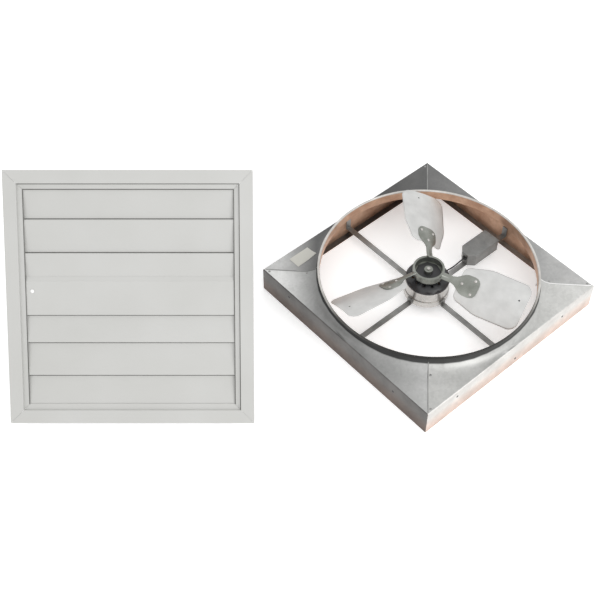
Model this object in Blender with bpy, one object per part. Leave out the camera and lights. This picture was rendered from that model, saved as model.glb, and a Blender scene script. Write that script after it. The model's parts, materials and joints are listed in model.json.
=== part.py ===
"""Whole house fan: a square direct-drive fan with its automatic ceiling shutter beside it.

Metres, +Z up. The fan rests on its skirts with the shaft upright, the shutter leans
back at its left, and the origin is the middle of the whole set on the floor.
"""
from math import cos, hypot, pi, radians, sin, sqrt

import bmesh
import bpy
from mathutils import Matrix, Vector

# Clearances
GAP = 0.0003
OVERRUN = 0.004
PIN_PLAY = 0.0005

# Fan housing
ORIFICE_MARGIN = 0.032
SKIRT_DEPTH = 0.108
SHEET = 0.0015
HEM_WIDTH = 0.025
FOLD_RADIUS = 0.003
THROAT_RISE = 0.045
FLARE_WIDTH = 0.062
FLARE_LIMIT_SHARE = 0.9
HOUSING_TURN = radians(41.2)
COLUMNS_PER_PANEL = 12
FLARE_STEPS = 5

# Orifice ring
ORIFICE_RADIUS = 0.400
RING_WALL = 0.0015
RING_DEPTH = 0.036
BEAD_RADIUS = 0.0045
BEAD_STEPS = 5

# Motor
MOTOR_RADIUS = 0.082
HUB_TO_MOTOR = 0.0114
BELL_HEIGHT = 0.020
CAN_HEIGHT = 0.060
CAN_WALL = 0.003
BELL_WALL = 0.003
BELL_LIP = 0.008
BOSS_RADIUS = 0.019
BOSS_HEIGHT = 0.004
SHAFT_RADIUS = 0.00635
BEARING_RADIUS = 0.013
BEARING_WIDTH = 0.009
STATOR_BORE = 0.046
STATOR_HEIGHT = 0.050
ROTOR_HEIGHT = 0.054
AIR_GAP = 0.001
SCALLOP_RADIUS = 0.007
SCALLOP_SHARE = 1.045
SLOT_LENGTH = 0.030
SLOT_WIDTH = 0.007
VENTS = 12
MOTOR_FACETS = 36

# Motor mounting
BAND_THICKNESS = 0.0025
BAND_HEIGHT = 0.026
BAND_RISE = 0.012
STRUT_WIDTH = 0.022
STRUT_THICKNESS = 0.003
STRUT_RISE = 0.008
STRUT_INNER_TAB = 0.028
STRUT_OUTER_TAB = 0.045

# Blades and the spider that carries them
BLADES = 3
FIRST_BLADE_ANGLE = radians(90)
BLADE_HEIGHT = 0.150
TIP_CLEARANCE = 0.019
BLADE_ROOT = 0.122
BLADE_SHEET = 0.0016
ROOT_HALF_CHORD = 0.050
FULL_HALF_CHORD = 0.085
FULL_CHORD_AT = 0.235
TIP_CORNER = 0.045
ROOT_CORNER = 0.018
ROOT_PITCH = radians(34)
TIP_PITCH = radians(25)
CAMBER = 0.011
CHORD_STEPS = 6
ARM_SHEET = 0.0025
ARM_NECK = 0.013
ARM_FLARE = 0.040
ARM_FLARE_FROM = 0.098
ARM_FLARE_AT = 0.150
ARM_END = 0.200
ARM_CORNER = 0.026
ARM_SEAT = 0.0009
HUB_RADIUS = 0.059
HUB_WALL = 0.008
HUB_TOP = 0.014
HUB_FLOOR = 0.016
HUB_WEB = 0.006
HUB_BOSS = 0.016
HUB_BOSS_TOP = 0.006
SHAFT_STAND = 0.010

# Wiring box on one strut
BOX_NEAR = 0.205
BOX_LENGTH = 0.145
BOX_WIDTH = 0.070
BOX_HEIGHT = 0.054
BOX_CHAMFER = 0.022
BOX_SHEET = 0.0012
COVER_LIP = 0.010
CAPACITOR_RADIUS = 0.017
CAPACITOR_LENGTH = 0.070

# Motor lead
LEAD_RADIUS = 0.0030
LEAD_ABOVE_BOX_FLOOR = 0.0327
LEAD_SAG = 0.006
LEAD_POINTS = 14
LEAD_TAIL = 0.012
GROMMET_FLANGE = 0.0035
GROMMET_LIP = 0.003

# Shutter
SHUTTER_WIDTH = 0.842
SHUTTER_HEIGHT = 0.872
SHUTTER_LEAN = radians(42)
SHUTTER_FROM_FAN = 0.0203
SHUTTER_FORWARD = 0.282
FLANGE = 0.0457
FLANGE_SHEET = 0.0015
LIP = 0.0215
LIP_RECESS = 0.008
COLLAR_DEPTH = 0.055
CENTER_PANEL_HEIGHT = 0.117
CENTER_PANEL_TAB = 0.020

# Louvers
LOUVERS_PER_BANK = 3
LAST_HINGE_INSET = 0.0562
LOUVER_LAP = 0.0135
CENTER_LAP = 0.0357
LOUVER_SHEET = 0.0012
CURL_RADIUS = 0.0035
CURL_POINTS = 7
HINGE_CLEARANCE = 0.0005
CLOSED_ANGLE = radians(4)
END_SPACE = 0.0085
PIN_RADIUS = 0.0022
PIN_REACH = 0.002
EAR_SHEET = 0.002
EAR_PAST_PLATE = 0.007
EAR_WIDTH = 0.010
EAR_RISE = 0.014
EAR_ROOT = 0.030
TIE_PIN_RADIUS = 0.0020
TIE_WIDTH = 0.011
TIE_SHEET = 0.002
TIE_END = 0.010

# Torsion springs on the first hinge pin of each bank
SPRING_TURNS = 4
SPRING_WIRE_RADIUS = 0.0004
SPRING_PLAY = 0.0005
SPRING_PITCH = 0.0013
SPRING_POINTS_PER_TURN = 8

# Worked out from the sizes above
HALF_SIDE = ORIFICE_RADIUS + ORIFICE_MARGIN
THROAT_RADIUS = ORIFICE_RADIUS + RING_WALL + GAP + SHEET
FAN_REACH = HALF_SIDE * sqrt(2) * cos(HOUSING_TURN - pi / 4)
SET_WIDTH = 2 * FAN_REACH + SHUTTER_FROM_FAN + SHUTTER_WIDTH
FAN_X = SET_WIDTH / 2 - FAN_REACH
SHUTTER_X = SHUTTER_WIDTH / 2 - SET_WIDTH / 2
BLADE_TIP = ORIFICE_RADIUS - TIP_CLEARANCE
MOTOR_TOP = BLADE_HEIGHT - HUB_FLOOR - HUB_TO_MOTOR
MOTOR_FLOOR = MOTOR_TOP - 2 * BELL_HEIGHT - CAN_HEIGHT - 2 * GAP
CAN_FLOOR = MOTOR_FLOOR + BELL_HEIGHT + GAP
BAND_RADIUS = MOTOR_RADIUS + GAP + BAND_THICKNESS
BAND_FLOOR = MOTOR_FLOOR + BAND_RISE
STRUT_FLOOR = MOTOR_FLOOR + STRUT_RISE
STRUT_TOP = STRUT_FLOOR + STRUT_THICKNESS
BOX_FLOOR = STRUT_TOP + GAP
LEAD_HEIGHT = BOX_FLOOR + LEAD_ABOVE_BOX_FLOOR
BANK_REACH = SHUTTER_HEIGHT / 2 - LAST_HINGE_INSET - CENTER_PANEL_HEIGHT / 2
HINGE_PITCH = (BANK_REACH - LOUVER_LAP + CENTER_LAP) / LOUVERS_PER_BANK
LOUVER_WIDTH = HINGE_PITCH + LOUVER_LAP
FIRST_HINGE = CENTER_PANEL_HEIGHT / 2 + LOUVER_WIDTH - CENTER_LAP
EAR_REACH = LOUVER_WIDTH + EAR_PAST_PLATE
HINGE_DEPTH = LIP_RECESS + FLANGE_SHEET + HINGE_CLEARANCE + CURL_RADIUS
COLLAR_HALF_WIDTH = SHUTTER_WIDTH / 2 - FLANGE
LOUVER_HALF_LENGTH = COLLAR_HALF_WIDTH - END_SPACE
SPRING_MEAN_RADIUS = PIN_RADIUS + SPRING_PLAY + SPRING_WIRE_RADIUS


def clear_scene():
    for existing in list(bpy.data.objects):
        bpy.data.objects.remove(existing, do_unlink=True)


def material(name, colour, roughness, metallic):
    made = bpy.data.materials.new(name)
    made.use_nodes = True
    shader = made.node_tree.nodes["Principled BSDF"]
    shader.inputs["Base Color"].default_value = (*colour, 1)
    shader.inputs["Roughness"].default_value = roughness
    shader.inputs["Metallic"].default_value = metallic
    return made


def empty(name, location, rotation=(0, 0, 0), parent=None):
    made = bpy.data.objects.new(name, None)
    made.location = location
    made.rotation_euler = rotation
    made.parent = parent
    bpy.context.collection.objects.link(made)
    return made


def piece(name, shape, finish, parent=None, location=(0, 0, 0), rotation=(0, 0, 0), smooth=True):
    """Make one object from a bmesh or share an existing mesh."""
    if isinstance(shape, bmesh.types.BMesh):
        mesh = bpy.data.meshes.new(name)
        bmesh.ops.recalc_face_normals(shape, faces=shape.faces)
        shape.to_mesh(mesh)
        shape.free()
        mesh.materials.append(finish)
    else:
        mesh = shape
    if smooth:
        mesh.shade_smooth()
        mesh.set_sharp_from_angle(angle=radians(35))
    made = bpy.data.objects.new(name, mesh)
    made.parent = parent
    made.location = location
    made.rotation_euler = rotation
    bpy.context.collection.objects.link(made)
    return made


def cut(target, cutter, operation="DIFFERENCE"):
    cutter.hide_render = True
    cutter.display_type = "WIRE"
    change = target.modifiers.new(operation.title(), "BOOLEAN")
    change.object = cutter
    change.operation = operation
    change.solver = "EXACT"


def turned(profile, facets):
    """Spin a closed (radius, height) outline round the Z axis."""
    shape = bmesh.new()
    corners = [shape.verts.new((radius, 0, height)) for radius, height in profile]
    edges = [shape.edges.new((corners[i - 1], corners[i])) for i in range(len(corners))]
    bmesh.ops.spin(shape, geom=corners + edges, cent=(0, 0, 0), axis=(0, 0, 1),
                   angle=2 * pi, steps=facets, use_merge=True)
    return shape


def loft(sections):
    """Skin closed sections of equal count and cap both ends."""
    shape = bmesh.new()
    rings = [[shape.verts.new(point) for point in section] for section in sections]
    count = len(rings[0])
    for before, after in zip(rings, rings[1:]):
        for i in range(count):
            shape.faces.new((before[i - 1], before[i], after[i], after[i - 1]))
    shape.faces.new(rings[0])
    shape.faces.new(reversed(rings[-1]))
    return shape


def extruded(outline, low, high, place):
    """Carry a flat outline from low to high; place gives (u, v, w) its 3-D point."""
    return loft([[place(u, v, low) for u, v in outline], [place(u, v, high) for u, v in outline]])


def rod(radius, low, high, place, facets=12):
    outline = [(radius * cos(2 * pi * i / facets), radius * sin(2 * pi * i / facets))
               for i in range(facets)]
    return extruded(outline, low, high, place)


def along_x(u, v, w):
    return Vector((w, u, v))


def join_shapes(shapes):
    joined = bmesh.new()
    for shape in shapes:
        carrier = bpy.data.meshes.new("carrier")
        bmesh.ops.recalc_face_normals(shape, faces=shape.faces)
        shape.to_mesh(carrier)
        shape.free()
        joined.from_mesh(carrier)
        bpy.data.meshes.remove(carrier)
    return joined


# Housing
def panel_section(angle):
    """One thick slice of a housing panel in the upright plane at this angle."""
    stretch = 1 / cos(angle)
    fold = HALF_SIDE * stretch
    width = min(FLARE_WIDTH, (fold - THROAT_RADIUS) * FLARE_LIMIT_SHARE)
    skin = []
    under = []
    for step in range(FLARE_STEPS + 1):
        turn = pi / 2 * step / FLARE_STEPS
        radius = THROAT_RADIUS + width * (1 - cos(turn))
        height = SKIRT_DEPTH + THROAT_RISE * (1 - sin(turn))
        slope = hypot(width * sin(turn), THROAT_RISE * cos(turn))
        skin.append((radius, height))
        under.append((radius - SHEET * THROAT_RISE * cos(turn) / slope,
                      height - SHEET * width * sin(turn) / slope))
    skin += [(fold - FOLD_RADIUS * stretch, SKIRT_DEPTH), (fold, SKIRT_DEPTH - FOLD_RADIUS), (fold, 0),
             ((HALF_SIDE - HEM_WIDTH) * stretch, 0)]
    under += [((HALF_SIDE - FOLD_RADIUS) * stretch, SKIRT_DEPTH - SHEET),
              ((HALF_SIDE - SHEET) * stretch, SKIRT_DEPTH - FOLD_RADIUS),
              ((HALF_SIDE - SHEET) * stretch, SHEET),
              ((HALF_SIDE - HEM_WIDTH) * stretch, SHEET)]
    return [(radius * cos(angle), radius * sin(angle), height)
            for radius, height in skin + under[::-1]]


def housing_panels(frame, finish):
    seam = GAP / 2 / THROAT_RADIUS
    half = pi / 4 - seam
    angles = [-half + 2 * half * i / COLUMNS_PER_PANEL for i in range(COLUMNS_PER_PANEL + 1)]
    shared = piece("housing_panel_1", loft([panel_section(a) for a in angles]), finish, frame)
    for i in range(1, 4):
        piece(f"housing_panel_{i + 1}", shared.data, finish, frame, rotation=(0, 0, i * pi / 2))


def orifice_ring(frame, finish):
    top = SKIRT_DEPTH + THROAT_RISE + GAP
    profile = [(ORIFICE_RADIUS + RING_WALL, top), (ORIFICE_RADIUS + RING_WALL, top - RING_DEPTH),
               (ORIFICE_RADIUS, top - RING_DEPTH)]
    for step in range(BEAD_STEPS + 1):
        turn = pi - pi * step / BEAD_STEPS
        profile.append((ORIFICE_RADIUS + BEAD_RADIUS + BEAD_RADIUS * cos(turn),
                        top + BEAD_RADIUS * sin(turn)))
    piece("orifice_ring", turned(profile, 4 * COLUMNS_PER_PANEL), finish, frame,
          rotation=(0, 0, pi / 4))


# Motor and its mounting
def struts(frame, finish):
    inner = BAND_RADIUS + GAP
    outer = HALF_SIDE - SHEET - GAP
    outline = [(inner, STRUT_FLOOR), (outer, STRUT_FLOOR), (outer, STRUT_FLOOR + STRUT_OUTER_TAB),
               (outer - STRUT_THICKNESS, STRUT_FLOOR + STRUT_OUTER_TAB),
               (outer - STRUT_THICKNESS, STRUT_TOP), (inner + STRUT_THICKNESS, STRUT_TOP),
               (inner + STRUT_THICKNESS, STRUT_FLOOR + STRUT_INNER_TAB),
               (inner, STRUT_FLOOR + STRUT_INNER_TAB)]
    bar = extruded(outline, -STRUT_WIDTH / 2, STRUT_WIDTH / 2, lambda u, v, w: (u, w, v))
    shared = piece("strut_1", bar, finish, frame, smooth=False)
    for i in range(1, 4):
        piece(f"strut_{i + 1}", shared.data, finish, frame, rotation=(0, 0, i * pi / 2), smooth=False)


def motor_band(frame, finish):
    low = BAND_FLOOR
    high = BAND_FLOOR + BAND_HEIGHT
    bore = MOTOR_RADIUS + GAP
    profile = [(bore, low), (BAND_RADIUS, low), (BAND_RADIUS, high), (bore, high)]
    piece("motor_band", turned(profile, MOTOR_FACETS), finish, frame)


def bell_profile(direction, base):
    """An end bell from its rim at base, rising towards direction (+1 up, -1 down)."""
    bore = BEARING_RADIUS + GAP
    rise = BELL_HEIGHT
    points = [(MOTOR_RADIUS, 0), (MOTOR_RADIUS, BELL_LIP), (MOTOR_RADIUS - rise / 2, rise),
              (BOSS_RADIUS, rise), (BOSS_RADIUS, rise + BOSS_HEIGHT), (bore, rise + BOSS_HEIGHT),
              (bore, rise - BELL_WALL - BOSS_HEIGHT), (BOSS_RADIUS, rise - BELL_WALL - BOSS_HEIGHT),
              (BOSS_RADIUS + BELL_WALL, rise - BELL_WALL),
              (MOTOR_RADIUS - rise / 2 - BELL_WALL, rise - BELL_WALL),
              (MOTOR_RADIUS - CAN_WALL, BELL_LIP), (MOTOR_RADIUS - CAN_WALL, 0)]
    return [(radius, base + direction * height) for radius, height in points]


def vent_cutter(direction, base, frame, name):
    """Scallops round the rim and slots through the face, in one cutter."""
    shapes = []
    middle = (BOSS_RADIUS + MOTOR_RADIUS) / 2 - SLOT_WIDTH / 2
    face = base + direction * BELL_HEIGHT
    for i in range(VENTS):
        turn = Matrix.Rotation(2 * pi * i / VENTS, 4, "Z")
        low = face - BELL_WALL - OVERRUN / 2
        high = face + BELL_WALL + OVERRUN / 2
        slot = [(middle - SLOT_LENGTH / 2, -SLOT_WIDTH / 2), (middle + SLOT_LENGTH / 2, -SLOT_WIDTH / 2),
                (middle + SLOT_LENGTH / 2, SLOT_WIDTH / 2), (middle - SLOT_LENGTH / 2, SLOT_WIDTH / 2)]
        shape = extruded(slot, low, high, lambda u, v, w: (u, v, w))
        bmesh.ops.transform(shape, matrix=turn, verts=shape.verts)
        shapes.append(shape)
        half_turn = Matrix.Rotation(2 * pi * (i + 1 / 2) / VENTS, 4, "Z")
        scallop = rod(SCALLOP_RADIUS, base + direction * BELL_LIP,
                      face + direction * (BOSS_HEIGHT + OVERRUN), lambda u, v, w: (u, v, w))
        shift = Matrix.Translation((MOTOR_RADIUS * SCALLOP_SHARE, 0, 0))
        bmesh.ops.transform(scallop, matrix=half_turn @ shift, verts=scallop.verts)
        shapes.append(scallop)
    return piece(name, join_shapes(shapes), cutter_finish(), frame, smooth=False)


def cutter_finish():
    return bpy.data.materials.get("Cutter") or bpy.data.materials.new("Cutter")


def motor(frame, black, steel, copper):
    can = [(MOTOR_RADIUS - CAN_WALL, CAN_FLOOR), (MOTOR_RADIUS, CAN_FLOOR),
           (MOTOR_RADIUS, CAN_FLOOR + CAN_HEIGHT), (MOTOR_RADIUS - CAN_WALL, CAN_FLOOR + CAN_HEIGHT)]
    piece("motor_shell", turned(can, MOTOR_FACETS), black, frame)
    upper = CAN_FLOOR + CAN_HEIGHT + GAP
    lower = MOTOR_FLOOR + BELL_HEIGHT
    for name, direction, base in (("motor_top_bell", 1, upper), ("motor_bottom_bell", -1, lower)):
        bell = piece(name, turned(bell_profile(direction, base), MOTOR_FACETS), black, frame)
        cut(bell, vent_cutter(direction, base, frame, f"{name}_vents"))
        bearing_face = base + direction * (BELL_HEIGHT + BOSS_HEIGHT)
        far_face = bearing_face - direction * BEARING_WIDTH
        low, high = sorted((bearing_face, far_face))
        bore = SHAFT_RADIUS + GAP
        race = [(bore, low), (BEARING_RADIUS, low), (BEARING_RADIUS, high), (bore, high)]
        piece(name.replace("motor_", "").replace("bell", "bearing"), turned(race, MOTOR_FACETS // 2),
              steel, frame)
    middle = CAN_FLOOR + CAN_HEIGHT / 2
    stator = [(STATOR_BORE, middle - STATOR_HEIGHT / 2),
              (MOTOR_RADIUS - CAN_WALL - GAP, middle - STATOR_HEIGHT / 2),
              (MOTOR_RADIUS - CAN_WALL - GAP, middle + STATOR_HEIGHT / 2),
              (STATOR_BORE, middle + STATOR_HEIGHT / 2)]
    piece("motor_stator", turned(stator, MOTOR_FACETS), copper, frame)
    return middle


def turning_parts(frame, middle, steel, silver, aluminium):
    axis = empty("fan_axis", (0, 0, 0), parent=frame)
    rotor_radius = STATOR_BORE - AIR_GAP
    core = [(SHAFT_RADIUS + GAP, middle - ROTOR_HEIGHT / 2), (rotor_radius, middle - ROTOR_HEIGHT / 2),
            (rotor_radius, middle + ROTOR_HEIGHT / 2), (SHAFT_RADIUS + GAP, middle + ROTOR_HEIGHT / 2)]
    piece("motor_rotor", turned(core, MOTOR_FACETS), steel, axis)
    shaft = rod(SHAFT_RADIUS, MOTOR_FLOOR - BOSS_HEIGHT, BLADE_HEIGHT + SHAFT_STAND,
                lambda u, v, w: (u, v, w), MOTOR_FACETS // 2)
    piece("motor_shaft", shaft, steel, axis)
    spider(axis, silver)
    blades(axis, aluminium)


def pitch_at(radius):
    share = (radius - BLADE_ROOT) / (BLADE_TIP - BLADE_ROOT)
    return ROOT_PITCH + (TIP_PITCH - ROOT_PITCH) * min(max(share, 0), 1)


def full_half_chord(radius):
    share = (radius - BLADE_ROOT) / (FULL_CHORD_AT - BLADE_ROOT)
    share = min(max(share, 0), 1)
    eased = share * share * (3 - 2 * share)
    return ROOT_HALF_CHORD + (FULL_HALF_CHORD - ROOT_HALF_CHORD) * eased


def rounded_end(distance, corner):
    """How much a rounded corner takes off the half width this far from the end."""
    if distance >= corner:
        return 0
    return corner - sqrt(corner ** 2 - (corner - distance) ** 2)


def blade_point(radius, across, lift):
    """A point on the cambered, twisted blade surface, lifted square to it."""
    pitch = pitch_at(radius)
    share = across / full_half_chord(radius)
    rise = CAMBER * (1 - share * share) + lift
    return Vector((radius, across * cos(pitch) - rise * sin(pitch),
                   BLADE_HEIGHT + across * sin(pitch) + rise * cos(pitch)))


def blade_sheet(stations, low, high):
    """A curved sheet between two lifts, from (radius, half width) stations."""
    sections = []
    for radius, half in stations:
        shares = [2 * i / CHORD_STEPS - 1 for i in range(CHORD_STEPS + 1)]
        bottom = [blade_point(radius, half * share, low) for share in shares]
        top = [blade_point(radius, half * share, high) for share in shares]
        sections.append(bottom + top[::-1])
    return loft(sections)


def blades(axis, aluminium):
    near_end_shares = (0, 0.08, 0.3, 0.62, 1)
    blade_shares = (0.14, 0.2, 0.26, 0.33, 0.45, 0.6, 0.72)
    radii = [BLADE_ROOT + ROOT_CORNER * share for share in near_end_shares]
    radii += [BLADE_ROOT + (BLADE_TIP - BLADE_ROOT) * share for share in blade_shares]
    radii += [BLADE_TIP - TIP_CORNER * share for share in reversed(near_end_shares)]
    stations = []
    for radius in radii:
        half = full_half_chord(radius) - rounded_end(BLADE_TIP - radius, TIP_CORNER)
        stations.append((radius, half - rounded_end(radius - BLADE_ROOT, ROOT_CORNER)))
    shape = blade_sheet(stations, -BLADE_SHEET / 2, BLADE_SHEET / 2)
    shared = piece("fan_blade_1", shape, aluminium, axis, rotation=(0, 0, FIRST_BLADE_ANGLE))
    for i in range(1, BLADES):
        piece(f"fan_blade_{i + 1}", shared.data, aluminium, axis,
              rotation=(0, 0, FIRST_BLADE_ANGLE + 2 * pi * i / BLADES))


def spider(axis, silver):
    top = BLADE_HEIGHT + HUB_TOP
    low = BLADE_HEIGHT - HUB_FLOOR
    bore = SHAFT_RADIUS + GAP
    profile = [(bore, low), (HUB_RADIUS - HUB_WALL / 2, low), (HUB_RADIUS, low + HUB_WALL / 2),
               (HUB_RADIUS, top), (HUB_RADIUS - HUB_WALL, top),
               (HUB_RADIUS - HUB_WALL - HUB_WALL / 4, low + HUB_WEB), (HUB_BOSS, low + HUB_WEB),
               (HUB_BOSS, BLADE_HEIGHT + HUB_BOSS_TOP), (bore, BLADE_HEIGHT + HUB_BOSS_TOP)]
    hub = piece("blade_spider", turned(profile, MOTOR_FACETS), silver, axis)
    flare_shares = (0.25, 0.5, 0.75, 1)
    end_shares = (1, 0.6, 0.3, 0.08, 0)
    lift = BLADE_SHEET / 2 + ARM_SEAT
    inner = HUB_RADIUS - HUB_WALL * 3 / 4
    stations = [(inner, ARM_NECK), ((inner + ARM_FLARE_FROM) / 2, ARM_NECK), (ARM_FLARE_FROM, ARM_NECK)]
    for share in flare_shares:
        eased = share * share * (3 - 2 * share)
        stations.append((ARM_FLARE_FROM + (ARM_FLARE_AT - ARM_FLARE_FROM) * share,
                         ARM_NECK + (ARM_FLARE - ARM_NECK) * eased))
    for share in end_shares:
        stations.append((ARM_END - ARM_CORNER * share,
                         ARM_FLARE - rounded_end(ARM_CORNER * share, ARM_CORNER)))
    for i in range(BLADES):
        arm = piece(f"spider_arm_{i + 1}", blade_sheet(stations, lift, lift + ARM_SHEET), silver, axis,
                    rotation=(0, 0, FIRST_BLADE_ANGLE + 2 * pi * i / BLADES))
        cut(hub, arm, "UNION")


# Wiring box and lead, built along one strut
def box_outline(grow):
    half = BOX_WIDTH / 2 + grow
    near = BOX_NEAR - grow
    far = BOX_NEAR + BOX_LENGTH + grow
    return [(near, -half + BOX_CHAMFER), (near + BOX_CHAMFER, -half), (far, -half), (far, half),
            (near + BOX_CHAMFER, half), (near, half - BOX_CHAMFER)]


def open_tray(outline, face_height, rim_height):
    shape = bmesh.new()
    face = [shape.verts.new((x, y, face_height)) for x, y in outline]
    rim = [shape.verts.new((x, y, rim_height)) for x, y in outline]
    shape.faces.new(face)
    for i in range(len(face)):
        shape.faces.new((face[i - 1], face[i], rim[i], rim[i - 1]))
    return shape


def thicken(target, thickness, offset):
    wall = target.modifiers.new("Wall", "SOLIDIFY")
    wall.thickness = thickness
    wall.offset = offset
    wall.use_even_offset = True


def wiring_box(frame, steel, dark, silver):
    top = BOX_FLOOR + BOX_HEIGHT
    box = piece("wiring_box", open_tray(box_outline(0), BOX_FLOOR, top), steel, frame, smooth=False)
    thicken(box, BOX_SHEET, -1)
    neck = LEAD_RADIUS + GAP + GROMMET_LIP
    hole = piece("box_hole", rod(neck + GAP, BOX_NEAR - OVERRUN, BOX_NEAR + OVERRUN,
                                 lambda u, v, w: (w, u, v + LEAD_HEIGHT)), steel, frame)
    cut(box, hole)
    cover = piece("wiring_box_cover", open_tray(box_outline(GAP + BOX_SHEET), top + GAP + BOX_SHEET,
                                                top - COVER_LIP), steel, frame, smooth=False)
    thicken(cover, BOX_SHEET, -1)
    flange = neck + GROMMET_LIP
    outside = -GROMMET_FLANGE - GAP
    inside = BOX_SHEET + GAP
    bore = LEAD_RADIUS + GAP
    grommet = turned([(bore, outside), (flange, outside), (flange, -GAP), (neck, -GAP), (neck, inside),
                      (flange, inside), (flange, inside + GROMMET_FLANGE),
                      (bore, inside + GROMMET_FLANGE)], MOTOR_FACETS // 2)
    piece("cord_grommet", grommet, dark, frame, location=(BOX_NEAR, 0, LEAD_HEIGHT),
          rotation=(0, pi / 2, 0))
    floor = BOX_FLOOR + BOX_SHEET + GAP + CAPACITOR_RADIUS
    start = BOX_NEAR + (BOX_LENGTH - CAPACITOR_LENGTH) / 2 + BOX_CHAMFER / 2
    can = rod(CAPACITOR_RADIUS, start, start + CAPACITOR_LENGTH,
              lambda u, v, w: (w, v, floor + u), MOTOR_FACETS // 2)
    piece("run_capacitor", can, silver, frame)


def motor_lead(frame, dark):
    """The lead from inside the box, through its grommet, to the motor's side."""
    start = BOX_NEAR + LEAD_TAIL
    end = MOTOR_RADIUS + GAP
    curve = bpy.data.curves.new("motor_lead", "CURVE")
    curve.dimensions = "3D"
    curve.bevel_depth = LEAD_RADIUS
    curve.bevel_resolution = 2
    curve.use_fill_caps = True
    path = curve.splines.new("POLY")
    path.points.add(LEAD_POINTS - 1)
    straight = 2 * LEAD_TAIL
    for i, point in enumerate(path.points):
        x = start + (end - start) * i / (LEAD_POINTS - 1)
        free = min(max((start - straight - x) / (start - straight - end - LEAD_TAIL), 0), 1)
        drop = LEAD_SAG * sin(pi * free) ** 2
        point.co = (x, 0, LEAD_HEIGHT - drop, 1)
    curve.materials.append(dark)
    made = bpy.data.objects.new("motor_lead", curve)
    made.parent = frame
    bpy.context.collection.objects.link(made)


# Shutter, in an upright frame: X along the louvers, +Y towards the attic side
def rail_outline():
    """(distance in from the outer edge, depth) of a flange, collar wall and front lip."""
    inner = FLANGE + LIP
    return [(0, 0), (FLANGE, 0), (FLANGE, LIP_RECESS), (inner, LIP_RECESS),
            (inner, LIP_RECESS + FLANGE_SHEET), (FLANGE, LIP_RECESS + FLANGE_SHEET),
            (FLANGE, COLLAR_DEPTH), (FLANGE - FLANGE_SHEET, COLLAR_DEPTH),
            (FLANGE - FLANGE_SHEET, FLANGE_SHEET), (0, FLANGE_SHEET)]


def rail(half_length, half_reach):
    """A mitred rail lying along X, at half_reach below the middle."""
    sections = []
    for side in (-1, 1):
        sections.append([(side * (half_length - inset - GAP), depth, inset - half_reach)
                         for inset, depth in rail_outline()])
    return loft(sections)


def shutter_frame(frame, paint):
    half_width = SHUTTER_WIDTH / 2
    half_height = SHUTTER_HEIGHT / 2
    level = rail(half_width, half_height)
    bottom = piece("frame_rail_bottom", level, paint, frame, smooth=False)
    piece("frame_rail_top", bottom.data, paint, frame, rotation=(0, pi, 0), smooth=False)
    for name, turn in (("frame_rail_left", pi / 2), ("frame_rail_right", -pi / 2)):
        upright = piece(name, rail(half_height, half_width), paint, frame, rotation=(0, turn, 0),
                        smooth=False)
        side = -1 if turn > 0 else 1
        holes = []
        for height in hinge_heights():
            reach = side * (half_width - FLANGE)
            low, high = sorted((reach - side * OVERRUN, reach + side * OVERRUN))
            shape = rod(PIN_RADIUS + PIN_PLAY, low, high,
                        lambda u, v, w, h=height: (w, u + HINGE_DEPTH, v + h))
            holes.append(shape)
        cut(upright, piece(f"{name}_holes", join_shapes(holes), paint, frame, smooth=False))


def hinge_heights():
    offsets = [FIRST_HINGE + HINGE_PITCH * i for i in range(LOUVERS_PER_BANK)]
    return offsets[::-1] + [-offset for offset in offsets]


def center_panel(frame, paint):
    front = HINGE_DEPTH - CURL_RADIUS
    half = COLLAR_HALF_WIDTH - GAP
    back = front + CENTER_PANEL_TAB
    outline = [(-half, front), (half, front), (half, back), (half - FLANGE_SHEET, back),
               (half - FLANGE_SHEET, front + LOUVER_SHEET), (-half + FLANGE_SHEET, front + LOUVER_SHEET),
               (-half + FLANGE_SHEET, back), (-half, back)]
    shape = extruded(outline, -CENTER_PANEL_HEIGHT / 2, CENTER_PANEL_HEIGHT / 2,
                     lambda u, v, w: (u, v, w))
    piece("center_panel", shape, paint, frame, smooth=False)


def tilt(along, back):
    """From a louver's own (along, back) to the shutter's (down, back) when shut."""
    return (along * cos(CLOSED_ANGLE) - back * sin(CLOSED_ANGLE),
            along * sin(CLOSED_ANGLE) + back * cos(CLOSED_ANGLE))


def louver_shape():
    """The plate with its curled hinge edge; the hinge axis is the X axis, the plate hangs down."""
    outline = []
    start = -pi / 2
    for i in range(CURL_POINTS):
        turn = start - (pi * 3 / 2) * i / (CURL_POINTS - 1)
        outline.append((CURL_RADIUS * cos(turn), CURL_RADIUS * sin(turn)))
    front = -CURL_RADIUS
    outline = [(LOUVER_WIDTH, front)] + outline
    outline += [(CURL_RADIUS, front + LOUVER_SHEET), (LOUVER_WIDTH, front + LOUVER_SHEET)]
    placed = [tilt(along, back) for along, back in outline]
    return extruded(placed, -LOUVER_HALF_LENGTH, LOUVER_HALF_LENGTH, lambda u, v, w: (w, v, -u))


def ear_outline():
    front = -CURL_RADIUS + LOUVER_SHEET / 2
    return [tilt(along, back) for along, back in (
        (LOUVER_WIDTH - EAR_ROOT, front), (LOUVER_WIDTH - LOUVER_SHEET, front),
        (EAR_REACH + EAR_WIDTH / 2, EAR_RISE - EAR_WIDTH / 2),
        (EAR_REACH + EAR_WIDTH / 2, EAR_RISE + EAR_WIDTH / 4),
        (EAR_REACH, EAR_RISE + EAR_WIDTH / 2),
        (EAR_REACH - EAR_WIDTH / 2, EAR_RISE + EAR_WIDTH / 2))]


def down(u, v, w):
    return (w, v, -u)


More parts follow.
